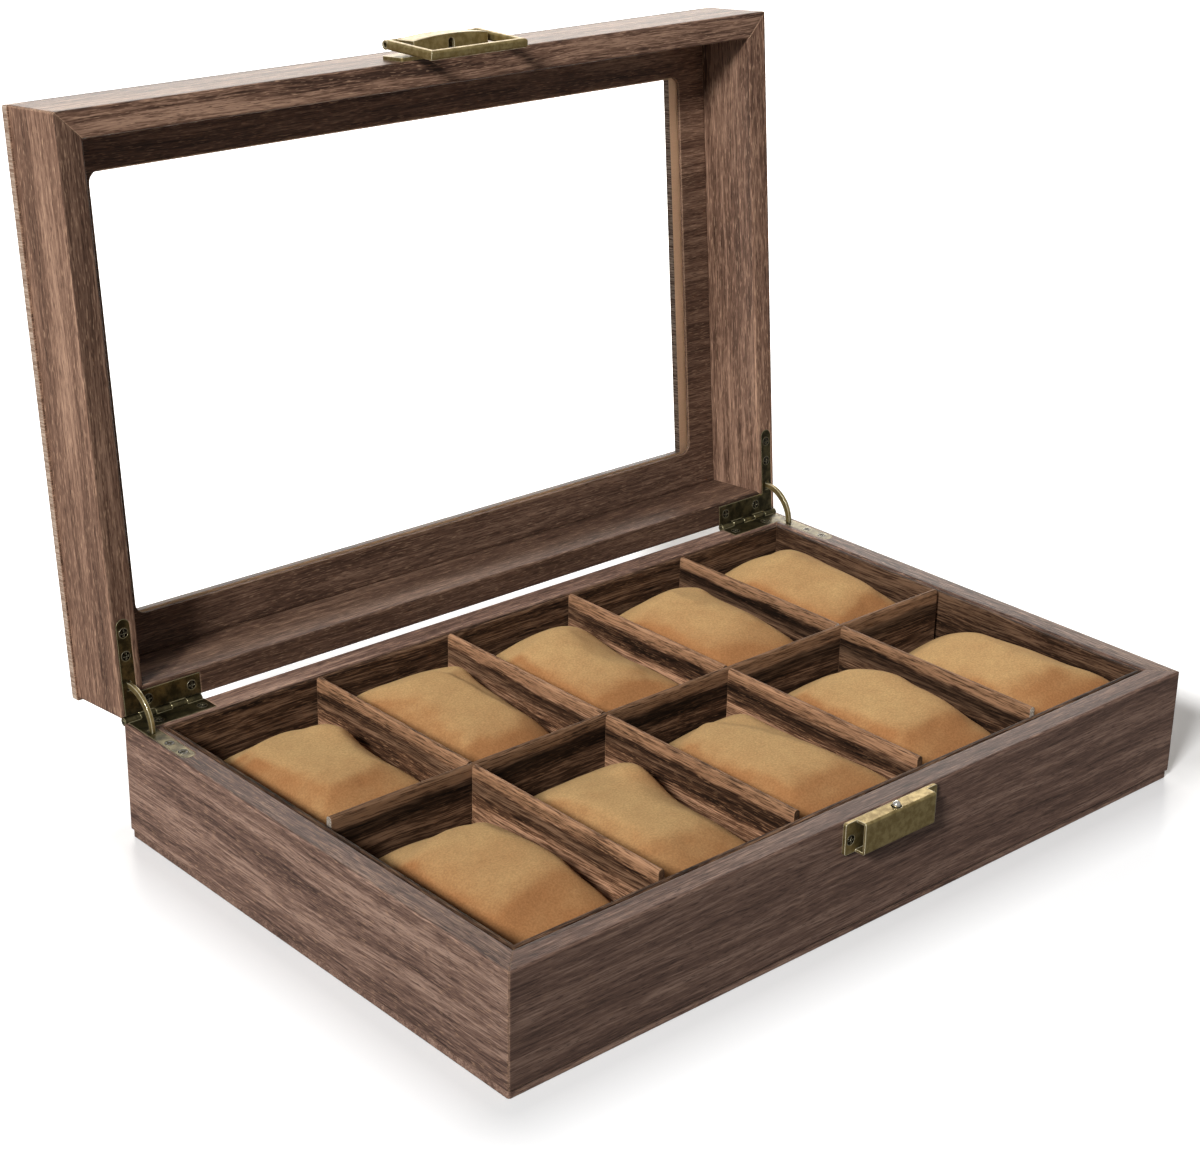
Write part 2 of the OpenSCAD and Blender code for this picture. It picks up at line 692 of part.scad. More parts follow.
// The bail: two side rails and a cross rail, mitred, with a knuckle at each pivot end.
module clasp_bail() {
    side_x = bail_w / 2 - rail_w / 2;
    color(brass) opened() at_pivot() rotate([bail_lean, 0, 0]) difference() {
        union() {
            for (s = [-1, 1]) intersection() {
                translate([s * side_x, 0, -bail_len]) linear_extrude(bail_len) rail_section();
                translate([s * bail_w / 2, rail_t, -bail_len]) rotate([90, 0, 0]) mirror([s > 0 ? 1 : 0, 0, 0])
                    linear_extrude(2 * rail_t) polygon([
                        [0, 0], [rail_w, rail_w], [rail_w, bail_len], [0, bail_len]]);
            }
            intersection() {
                translate([-bail_w / 2, 0, rail_w / 2 - bail_len]) rotate([90, 0, 90])
                    linear_extrude(bail_w) rotate(90) rail_section();
                translate([0, rail_t, -bail_len]) rotate([90, 0, 0]) linear_extrude(2 * rail_t) polygon([
                    [-bail_w / 2, 0], [bail_w / 2, 0],
                    [bail_w / 2 - rail_w, rail_w], [rail_w - bail_w / 2, rail_w]]);
            }
            for (s = [-1, 1]) handed(s) rod_x(hasp_barrel_r, bail_knuckle_in, bail_w / 2);
        }
        rod_x(hasp_pin_r + pin_gap, -bail_w, bail_w);
    }
}

// The cover: a crowned sheet from the pivot to a turned-down wall with an arched notch.
module clasp_cover() {
    crown_y = front_y - cover_out + cover_round;
    near_z = lid_z + wall_near;
    free_y = front_y - hasp_plate_t - fit;
    clear = hasp_barrel_r + 0.35;
    color(brass) opened() difference() {
        union() {
            intersection() {
                translate([clasp_x, crown_y, near_z]) difference() {
                    cylinder(r = cover_round, h = pivot_z - near_z, $fn = 256);
                    translate([0, 0, wall_thick])
                        cylinder(r = cover_round - cover_t, h = pivot_z - near_z, $fn = 256);
                }
                translate([clasp_x - cover_half, free_y - 2 * cover_out, near_z])
                    cube([2 * cover_half, 2 * cover_out, pivot_z - near_z]);
            }
            for (s = [-1, 1]) at_pivot() handed(s) rod_x(hasp_barrel_r, hasp_knuckle_half + fit, cover_half);
        }
        at_pivot() rod_x(clear, -hasp_knuckle_half - fit, hasp_knuckle_half + fit);
        at_pivot() rod_x(hasp_pin_r + pin_gap, -bail_w, bail_w);
        translate([clasp_x - notch_w / 2, free_y - 3.2, near_z - 1])
            cube([notch_w, 4, wall_thick + 2]);
        translate([clasp_x, free_y - 3.2, near_z - 1]) cylinder(r = notch_w / 2, h = wall_thick + 2);
    }
}

// ---------- the nodes ----------

base_wall(0);  // front_wall
base_wall(1);  // right_wall
base_wall(2);  // back_wall
base_wall(3);  // left_wall
bottom_panel();
floor_lining();
lining(0);  // front_lining
lining(1);  // right_lining
lining(2);  // back_lining
lining(3);  // left_lining
long_divider();
cross_divider(1);  // cross_divider_1
cross_divider(2);  // cross_divider_2
cross_divider(3);  // cross_divider_3
cross_divider(4);  // cross_divider_4
cushion(1, -1);  // front_cushion_1
cushion(2, -1);  // front_cushion_2
cushion(3, -1);  // front_cushion_3
cushion(4, -1);  // front_cushion_4
cushion(5, -1);  // front_cushion_5
cushion(1, 1);  // back_cushion_1
cushion(2, 1);  // back_cushion_2
cushion(3, 1);  // back_cushion_3
cushion(4, 1);  // back_cushion_4
cushion(5, 1);  // back_cushion_5
base_leaf(1);  // right_base_leaf
base_leaf(-1);  // left_base_leaf
hinge_pin(1);  // right_hinge_pin
hinge_pin(-1);  // left_hinge_pin
base_leaf_screws();
stay(1);  // right_stay
stay(-1);  // left_stay
lid_leaf(1);  // right_lid_leaf
lid_leaf(-1);  // left_lid_leaf
lid_leaf_screws();
catch_plate();
catch_screws();
catch_spring();
catch_ball();
lid_wall(0);  // lid_front_wall
lid_wall(1);  // lid_right_wall
lid_wall(2);  // lid_back_wall
lid_wall(3);  // lid_left_wall
top_panel();
window_glass();
window_frame();
clasp_plate();
clasp_screws();
clasp_pin();
clasp_bail();
clasp_cover();
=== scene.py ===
# %% [markdown]
# # Watch box
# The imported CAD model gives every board, hinge and screw its true shape and
# place. This script gives them their finishes, sews and stuffs the ten suede
# cushions, and puts the box in a plain white studio.

import json
import math

import bpy
import numpy as np
from mathutils import Matrix, Vector


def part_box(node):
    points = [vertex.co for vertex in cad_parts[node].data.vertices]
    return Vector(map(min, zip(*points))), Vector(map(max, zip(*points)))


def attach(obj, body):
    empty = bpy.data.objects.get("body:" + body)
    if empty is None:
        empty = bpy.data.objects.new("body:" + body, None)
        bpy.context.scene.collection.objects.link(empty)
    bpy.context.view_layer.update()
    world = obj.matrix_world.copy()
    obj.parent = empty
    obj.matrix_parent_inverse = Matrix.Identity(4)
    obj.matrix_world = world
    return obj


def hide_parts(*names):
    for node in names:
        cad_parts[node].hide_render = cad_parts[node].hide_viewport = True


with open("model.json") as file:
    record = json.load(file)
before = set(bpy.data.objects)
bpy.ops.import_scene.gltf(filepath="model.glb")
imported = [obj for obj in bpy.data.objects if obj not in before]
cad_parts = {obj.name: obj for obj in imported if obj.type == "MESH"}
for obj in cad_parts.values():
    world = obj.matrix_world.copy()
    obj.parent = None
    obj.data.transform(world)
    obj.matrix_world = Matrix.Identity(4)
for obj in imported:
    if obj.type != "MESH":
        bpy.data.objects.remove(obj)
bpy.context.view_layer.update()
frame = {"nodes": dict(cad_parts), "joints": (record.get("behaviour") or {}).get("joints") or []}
NODES = frame["nodes"]

# %% [markdown]
# The main sizes are read from the CAD nodes, so that a finish that follows a
# rim or a mitre stays on it when the box is made in another size.

# %% Read the main sizes
front_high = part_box("front_wall")[1]
HALF_W, RIM_Z = front_high.x, front_high.z
HALF_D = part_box("back_wall")[1].y
pin_low, pin_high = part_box("left_hinge_pin")
HINGE_Y = (pin_low.y + pin_high.y) / 2
HINGE_Z = (pin_low.z + pin_high.z) / 2
DIVIDER_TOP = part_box("long_divider")[1].z
lid_joint = [joint for joint in frame["joints"] if joint["name"] == "lid_hinge"][0]
OPEN_ANGLE = math.radians(max(abs(limit) for limit in lid_joint["range_deg"]))
print("half width %.4f, half depth %.4f, rim height %.4f" % (HALF_W, HALF_D, RIM_Z))
print("hinge line y %.4f z %.4f, open %.1f degrees" % (HINGE_Y, HINGE_Z, math.degrees(OPEN_ANGLE)))

# %% [markdown]
# The camera stands to the left of the front corner and looks down a little. A
# long lens keeps the box's edges nearly parallel. A camera in Blender looks
# along its own minus Z, so three directions say how it stands: its right, its
# up and its back. As the columns of a matrix, they turn it in one step.

# %% Camera
LENS_MM, SENSOR_MM = 72.212, 36.0
CAMERA_PLACE = (-0.504768, -0.524592, 0.389870)
CAMERA_RIGHT = Vector((0.7477039, -0.6638029, 0.0174533))
CAMERA_UP = Vector((0.2447453, 0.2999227, 0.9220337))
CAMERA_BACK = Vector((-0.6172832, -0.6851366, 0.3867160))
NEAREST, FARTHEST = 0.05, 20.0

camera = bpy.data.objects.new("camera", bpy.data.cameras.new("camera"))
bpy.context.collection.objects.link(camera)
camera.data.lens, camera.data.sensor_width = LENS_MM, SENSOR_MM
camera_turn = Matrix((CAMERA_RIGHT, CAMERA_UP, CAMERA_BACK)).transposed()
camera.matrix_world = Matrix.Translation(CAMERA_PLACE) @ camera_turn.to_4x4()
camera.data.clip_start, camera.data.clip_end = NEAREST, FARTHEST
bpy.context.scene.camera = camera
print("camera: %.0f mm lens, %.2f m from the middle" % (LENS_MM, Vector(CAMERA_PLACE).length))

# %% [markdown]
# A material in Blender is a tree of nodes. Drawn by hand, each finish here
# would be thirty boxes and wires. In a script it reads better as sums, so a
# small class adds one node for each call and returns its output, ready to be
# handed on to the next.

# %% A short way to write material nodes
class Nodes:
    """Adds nodes to one tree. An argument may be a socket, a number or a colour."""

    def __init__(self, tree):
        self.tree = tree

    def put(self, socket, value):
        """Wires a socket to an input, or sets the input to a plain value."""
        if isinstance(value, bpy.types.NodeSocket):
            self.tree.links.new(value, socket)
        elif value is not None:
            socket.default_value = value

    def add(self, kind, inputs=(), **settings):
        """A new node with its settings and inputs."""
        made = self.tree.nodes.new(kind)
        for name, value in settings.items():
            setattr(made, name, value)
        for name, value in dict(inputs).items():
            self.put(made.inputs[name], value)
        return made

    def coordinate(self, name):
        """Where a point is on its piece ("Object"), or which way its face looks ("Normal")."""
        return self.add("ShaderNodeTexCoord").outputs[name]

    def math(self, operation, a, b=None, c=None):
        """A sum on numbers."""
        made = self.add("ShaderNodeMath", operation=operation)
        for i, value in enumerate((a, b, c)):
            self.put(made.inputs[i], value)
        return made.outputs[0]

    def vector_math(self, operation, a, b=None):
        """A sum on vectors."""
        made = self.add("ShaderNodeVectorMath", operation=operation)
        self.put(made.inputs[0], a)
        self.put(made.inputs[1], b)
        return made.outputs["Value" if operation in ("DOT_PRODUCT", "LENGTH") else "Vector"]

    def scaled(self, colour, factor):
        """A colour or a vector times a number."""
        return self.add("ShaderNodeVectorMath", {0: colour, "Scale": factor}, operation="SCALE").outputs[0]

    def fit(self, value, low, high, to_low=0.0, to_high=1.0, smooth=True):
        """Carries low..high over to to_low..to_high and holds the ends."""
        made = self.add("ShaderNodeMapRange", {"Value": value, "From Min": low, "From Max": high,
                                               "To Min": to_low, "To Max": to_high})
        made.interpolation_type = "SMOOTHSTEP" if smooth else "LINEAR"
        return made.outputs[0]

    def noise(self, vector, scale, detail, rough, distort=0.0):
        """Cloudy noise around 0.5."""
        made = self.add("ShaderNodeTexNoise", {"Vector": vector, "Scale": scale, "Detail": detail,
                                               "Roughness": rough, "Distortion": distort})
        return made.outputs["Fac"]

    def mix(self, factor, a, b):
        """A colour between a and b."""
        made = self.add("ShaderNodeMix", data_type="RGBA")
        self.put(made.inputs[0], factor)
        self.put(made.inputs[6], a)
        self.put(made.inputs[7], b)
        return made.outputs[2]

    def blend(self, factor, a, b):
        """A number between a and b."""
        made = self.add("ShaderNodeMix", data_type="FLOAT")
        self.put(made.inputs[0], factor)
        self.put(made.inputs[2], a)
        self.put(made.inputs[3], b)
        return made.outputs[0]

    def ramp(self, factor, stops):
        """A colour from a list of (place, colour)."""
        made = self.add("ShaderNodeValToRGB", {"Fac": factor})
        while len(made.color_ramp.elements) < len(stops):
            made.color_ramp.elements.new(0.5)
        for element, (at, colour) in zip(made.color_ramp.elements, stops):
            element.position = at
            element.color = colour
        return made.outputs["Color"]

    def mapped(self, vector, scale=(1, 1, 1), shift=(0, 0, 0), turn=(0, 0, 0)):
        """Places scaled, then turned, then shifted."""
        made = self.add("ShaderNodeMapping", {"Vector": vector, "Scale": scale,
                                              "Location": shift, "Rotation": turn})
        return made.outputs["Vector"]

    def parts(self, vector):
        """The X, Y and Z of a vector."""
        return self.add("ShaderNodeSeparateXYZ", {0: vector}).outputs

    def bump(self, shader, height, strength, distance, normal=None):
        """Fine relief on a shader."""
        made = self.add("ShaderNodeBump", {"Height": height, "Strength": strength,
                                           "Distance": distance, "Normal": normal})
        self.put(shader.inputs["Normal"], made.outputs["Normal"])


def rgb(red, green, blue):
    """An sRGB colour from 0 to 255, as the linear colour that a shader takes.

    linear = v / 12.92 up to v = 0.04045, and ((v + 0.055) / 1.055)^2.4 above it.
    """
    def linear(v):
        v /= 255.0
        return v / 12.92 if v <= 0.04045 else ((v + 0.055) / 1.055) ** 2.4
    return (linear(red), linear(green), linear(blue), 1.0)


def new_material(name):
    """A material with a Principled shader. Returns (material, its Nodes, the shader)."""
    made = bpy.data.materials.new(name)
    made.use_nodes = True
    return made, Nodes(made.node_tree), made.node_tree.nodes["Principled BSDF"]


def finish_node(name, material):
    """Gives a CAD node its material in every slot."""
    mesh = NODES[name].data
    mesh.materials.clear()
    mesh.materials.append(material)


# %% [markdown]
# Goods like this are shown on a white sweep. A white world would also light
# the box from every side and take its shading away. So the world asks what
# kind of ray has reached it. It is white to the camera and through glass, half
# as bright in gloss, and gives the box only a little light.

# %% World
WHITE = (1.0, 1.0, 1.0, 1.0)
WORLD_LIGHT, WORLD_IN_GLOSS = 0.13, 0.45


def seen_straight(n):
    """1 for rays from the camera, also those through glass, and 0 for all others."""
    ray = n.add("ShaderNodeLightPath").outputs
    return n.math("MAXIMUM", ray["Is Camera Ray"], ray["Is Transmission Ray"])


world = bpy.data.worlds.new("studio")
bpy.context.scene.world = world
world.use_nodes = True
sky = Nodes(world.node_tree)
in_gloss = sky.add("ShaderNodeLightPath").outputs["Is Glossy Ray"]
sky_strength = sky.blend(seen_straight(sky), sky.blend(in_gloss, WORLD_LIGHT, WORLD_IN_GLOSS), 1.0)
sky.put(world.node_tree.nodes["Background"].inputs["Color"], WHITE)
sky.put(world.node_tree.nodes["Background"].inputs["Strength"], sky_strength)
print("world: %.2f as light, %.2f in gloss" % (WORLD_LIGHT, WORLD_IN_GLOSS))

# %% [markdown]
# The floor is one big sheet just under the box. Its own grey takes the lamps'
# shadow. To the camera it also glows, so that it reads as white farther out.
# The glow fades towards the box's foot and in the strip along its right side,
# where the shadow falls, or it would wash both out.

# %% Floor
FLOOR_Z, FLOOR_REACH = -0.0002, 6.0
FLOOR_GREY, FLOOR_GREY_TO_BOX = (0.80, 0.80, 0.80, 1.0), (0.22, 0.22, 0.22, 1.0)
SHADE_X, SHADE_Y, SHADE_HALF_LENGTH = HALF_W + 0.028, 0.040, 0.115

corners = [(-FLOOR_REACH, -FLOOR_REACH, FLOOR_Z), (FLOOR_REACH, -FLOOR_REACH, FLOOR_Z),
           (FLOOR_REACH, FLOOR_REACH, FLOOR_Z), (-FLOOR_REACH, FLOOR_REACH, FLOOR_Z)]
floor_mesh = bpy.data.meshes.new("floor")
floor_mesh.from_pydata(corners, [], [(0, 1, 2, 3)])
floor = bpy.data.objects.new("floor", floor_mesh)
bpy.context.collection.objects.link(floor)
print("floor: %.0f m wide" % (2 * FLOOR_REACH))


# %% Floor's finish
def distance_from_box(n, spot):
    """Distance on the floor from the box's outline: the length of max(|x, y| - half size, 0)."""
    outside = n.vector_math("SUBTRACT", n.vector_math("ABSOLUTE", spot), (HALF_W, HALF_D, 1.0))
    return n.vector_math("LENGTH", n.vector_math("MAXIMUM", outside, (0.0, 0.0, 0.0)))


def distance_from_shade(n, spot):
    """Distance from the middle line of the strip where the shadow falls."""
    beside = n.math("SUBTRACT", n.parts(spot)["X"], SHADE_X)
    along = n.math("ABSOLUTE", n.math("SUBTRACT", n.parts(spot)["Y"], SHADE_Y))
    beyond = n.math("MAXIMUM", n.math("SUBTRACT", along, SHADE_HALF_LENGTH), 0.0)
    return n.math("SQRT", n.math("ADD", n.math("MULTIPLY", beside, beside), n.math("MULTIPLY", beyond, beyond)))


floor_paint, n, shader = new_material("floor")
straight = seen_straight(n)
spot = n.coordinate("Object")
away = distance_from_box(n, spot)
near_glow = n.fit(away, 0.005, 0.026, 0.14, 0.44, smooth=False)
far_glow = n.fit(away, 0.05, 0.20, 0.0, 0.6)
unshaded = n.fit(distance_from_shade(n, spot), 0.020, 0.045)
n.put(shader.inputs["Base Color"], n.mix(straight, FLOOR_GREY_TO_BOX, FLOOR_GREY))
n.put(shader.inputs["Roughness"], 0.32)
n.put(shader.inputs["Specular IOR Level"], 0.22)
glow = n.add("ShaderNodeEmission", {"Color": WHITE,
                                    "Strength": n.math("MULTIPLY", unshaded, n.math("ADD", near_glow, far_glow))})
both = n.add("ShaderNodeAddShader", {0: shader.outputs[0], 1: glow.outputs[0]})
pick = n.add("ShaderNodeMixShader", {0: straight, 1: shader.outputs[0], 2: both.outputs[0]})
n.put(floor_paint.node_tree.nodes["Material Output"].inputs["Surface"], pick.outputs[0])
floor_mesh.materials.append(floor_paint)
print("floor's finish:", len(floor_paint.node_tree.nodes), "nodes")

# %% [markdown]
# Two square lamps do the work. The key stands far off on the left, above and a
# little in front, and is small enough for its shadow to have an edge. A large,
# warmer lamp low behind on the right rims the lid and opens up the shadow.

# %% Lamps
LAMP_AIM = (0, 0, 0.08)


def area_lamp(name, place, size, power):
    """A square lamp at place that faces the box."""
    data = bpy.data.lights.new(name, "AREA")
    data.shape, data.size, data.energy = "SQUARE", size, power
    lamp = bpy.data.objects.new(name, data)
    bpy.context.collection.objects.link(lamp)
    lamp.location = place
    lamp.rotation_mode = "QUATERNION"
    lamp.rotation_quaternion = (Vector(LAMP_AIM) - Vector(place)).to_track_quat("-Z", "Y")
    return lamp


key = area_lamp("key", (-2.60, -1.12, 1.90), 0.6, 128.0)
rear = area_lamp("rear", (1.28, 1.55, 0.60), 1.6, 28.0)
rear.data.color = (1.0, 0.94, 0.87)
print("lamps:", key.name, rear.name)

# %% [markdown]
# The box is thin board wrapped in printed walnut-grain sheet. A scan of the
# sheet would show its seams when the box changes size, so the print is worked
# out instead. It reads as wood because of three scales at once: tone bands a
# centimetre wide, streaks a few millimetres wide, and fibres finer than half a
# millimetre. Each is noise on Object coordinates, stretched along the board,
# so it runs over the edges as a sheet folded round the board does.

# %% The sheet's tones
OUTSIDE = dict(dark=rgb(64, 48, 42), mid=rgb(114, 88, 76), light=rgb(164, 135, 118), pale_wear_highlight=rgb(182, 146, 118))
LID = dict(dark=rgb(62, 43, 34), mid=rgb(116, 87, 71), light=rgb(168, 134, 112), pale_wear_highlight=rgb(206, 168, 138))
INSIDE = dict(dark=rgb(32, 20, 13), mid=rgb(86, 60, 43), light=rgb(158, 122, 95), pale_wear_highlight=rgb(164, 124, 92))
CORE_DARK, CORE_LIGHT = rgb(150, 128, 108), rgb(232, 222, 206)
# the width across the grain and the length along it of each scale, in metres
WAVE, STREAK, FIBRE, DASH = (0.024, 0.09), (0.0017, 0.060), (0.00050, 0.0130), (0.00032, 0.0036)
BAND_LENGTH, WAVE_HEIGHT = 0.16, 0.006
print("three sets of tones: outside, lid and inside")


# %% The grain
def lid_space(n, vector):
    """Turns a place on the open lid back to where it lies on the closed lid."""
    centred = n.mapped(vector, shift=(0, -HINGE_Y, -HINGE_Z))
    turned = n.mapped(centred, turn=(OPEN_ANGLE, 0, 0))
    return n.mapped(turned, shift=(0, HINGE_Y, HINGE_Z))


def grain_colour(n, place, along, tones, layers, band, flecks):
    """Walnut print on board places. Returns (colour, fine relief).

    layers are the strengths of bands, streaks and fibres, band is a band's width, and
    tone = 0.5 + sum of strength * (noise - 0.5). Short dashes then fleck it pale and dark,
    and relief = 0.6 fibres + 0.4 dashes.
    """
    def stretched(where, across, length):
        scale = (1 / length, 1 / across, 1 / across) if along == "x" else (1 / across, 1 / length, 1 / across)
        return n.mapped(where, scale=scale)

    wave = n.add("ShaderNodeTexNoise", {"Vector": stretched(place, *WAVE), "Scale": 1.0, "Detail": 2.0})
    wave = n.scaled(n.vector_math("SUBTRACT", wave.outputs["Color"], (0.5, 0.5, 0.5)), WAVE_HEIGHT)
    wavy = n.vector_math("ADD", place, wave)

    bands = n.noise(stretched(wavy, band, BAND_LENGTH), 1.0, 2.0, 0.5)
    streaks = n.noise(stretched(wavy, *STREAK), 1.0, 3.0, 0.6)
    fibres = n.noise(stretched(wavy, *FIBRE), 1.0, 2.0, 0.65)
    dashes = n.noise(stretched(place, *DASH), 1.0, 1.0, 0.5)
    tone = n.math("MULTIPLY_ADD", bands, layers[0], 0.5 - sum(layers) / 2)
    tone = n.math("MULTIPLY_ADD", streaks, layers[1], tone)
    tone = n.math("MULTIPLY_ADD", fibres, layers[2], tone)
    colour = n.ramp(tone, [(0.05, tones["dark"]), (0.50, tones["mid"]), (0.95, tones["light"])])
    colour = n.mix(n.math("MULTIPLY", n.fit(dashes, 0.60, 0.70), flecks), colour, tones["pale_wear_highlight"])
    dark_flecks = 0.3 if tones is INSIDE else 0.7
    colour = n.mix(n.math("MULTIPLY", n.fit(dashes, 0.40, 0.30), dark_flecks), colour, tones["dark"])
    return colour, n.math("ADD", n.math("MULTIPLY", fibres, 0.6), n.math("MULTIPLY", dashes, 0.4))


# %% [markdown]
# Four things are added to such a sheet. It is lighter where it folds over an edge, partly wear and partly a
# painted highlight, and a Bevel node finds those edges: it gives the normal that a rounded edge would have, and
# where that differs from the true one, there is an edge. On faces that look up, the relief is painted stronger, as
# painted light from above. Along the top of a thin divider a pale line is painted as a highlight, above a dark
# band of print. And where a board is cut across, the pale core shows.

# %% Wear on the sheet
BAND_DEPTH = 0.62


def lit_and_rubbed_folds(n, colour, relief, soft, pale_wear_highlight):
    """Print lighter at the folds, partly wear and partly a painted highlight, and the relief painted stronger on
    faces that look up, as painted light from above.
    """
    upward = n.math("MAXIMUM", n.parts(n.coordinate("Normal"))["Z"], 0.0)
    # Painted light: on faces that look up, the relief's contrast is raised as light from above would show it.
    relief_light = n.math("MULTIPLY", n.math("SUBTRACT", relief, 0.5), n.math("MULTIPLY", upward, 1.8))
    colour = n.scaled(colour, n.math("ADD", relief_light, 1.0))
    # Painted highlight, partly wear: the edges that the Bevel node finds are mixed towards the pale colour.
    facing = n.vector_math("DOT_PRODUCT", soft, n.add("ShaderNodeNewGeometry").outputs["Normal"])
    rubbed_and_highlit = n.math("MULTIPLY", n.fit(facing, 0.99, 0.86), n.fit(relief, 0.35, 0.6, 0.35, 0.95))
    return n.mix(rubbed_and_highlit, colour, pale_wear_highlight)


def crest_highlight(n, colour, relief, place, crest, pale_wear_highlight):
    """A pale line just below the height crest, painted as a highlight where the rounded top catches the light, and
    a dark band of print under it.
    """
    uneven = n.noise(place, 60.0, 2.0, 0.5)
    height = n.math("MULTIPLY_ADD", uneven, 0.004, n.parts(n.coordinate("Object"))["Z"])
    band = n.math("MULTIPLY", n.fit(height, crest - 0.0110, crest - 0.0060),
                  n.fit(height, crest - 0.0020, crest - 0.0034))
    colour = n.scaled(colour, n.math("MULTIPLY_ADD", band, -BAND_DEPTH, 1.0))
    # Painted highlight: the pale line along the top of the divider.
    pale = n.math("MULTIPLY", n.fit(height, crest - 0.0028, crest - 0.0012), n.fit(relief, 0.34, 0.60, 0.05, 0.75))
    return n.mix(pale, colour, pale_wear_highlight)


def core_ends(n, colour, relief, along):
    """The board's pale core on faces that look along the grain."""
    across = n.math("ABSOLUTE", n.parts(n.coordinate("Normal"))["X" if along == "x" else "Y"])
    core = n.mix(n.fit(relief, 0.40, 0.60), CORE_DARK, CORE_LIGHT)
    return n.mix(n.fit(across, 0.80, 0.95), colour, core)


# %% The whole wrap
def grain_wrap(name, along, on_lid=False, tones=OUTSIDE, layers=(1.2, 0.9, 1.2), band=0.009, shade=1.0,
               seed=0.0, flecks=0.5, core=False, crest=None):
    """Walnut print whose grain runs along "x" or "y". Returns (material, its Nodes, the shader).

    shade scales the colour: on some boards it is the print's own tone, on others painted light or shade. seed
    moves the pattern, so that no two boards match.
    """
    made, n, shader = new_material(name)
    place = n.coordinate("Object")
    if on_lid:
        place = lid_space(n, place)
    place = n.mapped(place, shift=(seed * 0.137, seed * 0.071, seed * 0.053))
    colour, relief = grain_colour(n, place, along, tones, layers, band, flecks)
    soft = n.add("ShaderNodeBevel", {"Radius": 0.0007}, samples=4).outputs[0]
    colour = lit_and_rubbed_folds(n, colour, relief, soft, tones["pale_wear_highlight"])
    if shade != 1.0:
        colour = n.scaled(colour, shade)
    if crest is not None:
        colour = crest_highlight(n, colour, relief, place, crest, tones["pale_wear_highlight"])
    if core:
        colour = core_ends(n, colour, relief, along)
    n.put(shader.inputs["Base Color"], colour)
    n.put(shader.inputs["Roughness"], 0.60 if tones is INSIDE else 0.46)
    n.put(shader.inputs["Specular IOR Level"], 0.12 if tones is INSIDE else 0.20)
    n.bump(shader, relief, 0.5, 0.00012, soft)
    return made, n, shader


def paint_light_and_shade(wrap, factor, facing=None, axis="X", span=None):
    """Paints light and shade into a wrap's colour: scales it by factor on faces that look along facing, or from
    factor[0] to factor[1] over a span of the board.
    """
    _, n, shader = wrap
    if facing is not None:
        agrees = n.vector_math("DOT_PRODUCT", n.coordinate("Normal"), facing)
        factor = n.fit(agrees, 0.6, 0.9, 1.0, factor)
    else:
        factor = n.fit(n.parts(n.coordinate("Object"))[axis], span[0], span[1], factor[0], factor[1])
    skin = shader.inputs["Base Color"].links[0].from_socket
    n.put(shader.inputs["Base Color"], n.scaled(skin, factor))


def clad(boards, name, along, changes=(), **sheet):
    """Makes one wrap, paints light and shade on it by each of changes, and lays it on the boards."""
    wrap = grain_wrap(name, along, **sheet)
    for change in changes:
        paint_light_and_shade(wrap, **change)
    for board in boards:
        finish_node(board, wrap[0])
    print("%s: %s" % (name, ", ".join(boards)))


# %% [markdown]
# Every board has its own cut of the sheet, so each wrap has its own seed, its own grain direction and its own
# tone. Light and shade are also painted into most wraps: faces are made lighter or darker by the way they look,
# and some boards grow lighter towards one end. The base and the lid are cut from slightly different print: the
# lid's has more contrast and more pale flecks.

# %% Wrap the base
UP, LEFT, FRONT = (0.0, 0.0, 1.0), (-1.0, 0.0, 0.0), (0.0, -1.0, 0.0)
ACROSS_BOX, ALONG_BOX = (-HALF_W, HALF_W), (-HALF_D, HALF_D)

# Painted shade: the front is darkened to 80 %. Painted light: it grows lighter from left to right.
clad(["front_wall"], "walnut_wrap_front", "x", [dict(factor=(0.94, 1.20), span=ACROSS_BOX)],
     layers=(0.9, 0.9, 1.1), shade=0.80, seed=1.0, flecks=0.2)
# Painted highlight: the faces that look up, the back rim, are 22 % lighter.
clad(["back_wall", "bottom_panel"], "walnut_wrap_back", "x", [dict(factor=1.22, facing=UP)], seed=8.0)
# Painted shade: the faces that look up, the side rims, are darker. Painted light: the walls grow lighter towards
# the back.
clad(["left_wall", "right_wall"], "walnut_wrap_side", "y",
     [dict(factor=0.84, facing=UP), dict(factor=(0.86, 1.12), axis="Y", span=ALONG_BOX)],
     layers=(1.3, 1.0, 1.7), seed=2.0)

# %% Wrap the lid
# the lid's outward direction when it is open, and that of its rim
LID_OUT = (0.0, math.sin(OPEN_ANGLE), math.cos(OPEN_ANGLE))
RIM_FACE = (0.0, -math.sin(OPEN_ANGLE), -math.cos(OPEN_ANGLE))
ON_LID = dict(on_lid=True, tones=LID)

clad(["lid_front_wall"], "walnut_wrap_lid_long", "x", layers=(1.6, 1.3, 2.2), seed=3.0, **ON_LID)
# Painted shade: the lid's back wall is darkened, its rim most.
clad(["lid_back_wall"], "walnut_wrap_lid_back", "x", [dict(factor=0.80, facing=RIM_FACE)],
     shade=0.62, seed=11.0, **ON_LID)
# Painted shade on the left wall's rim, and painted light on its outer face, which looks left.
clad(["lid_left_wall"], "walnut_wrap_lid_left", "y",
     [dict(factor=0.72, facing=RIM_FACE), dict(factor=1.16, facing=LEFT)], seed=4.0, **ON_LID)
# Painted light on the right wall's rim, and painted shade on its inner face, which looks left.
clad(["lid_right_wall"], "walnut_wrap_lid_right", "y",
     [dict(factor=1.42, facing=RIM_FACE), dict(factor=0.84, facing=LEFT)],
     layers=(1.5, 1.0, 1.6), seed=14.0, **ON_LID)
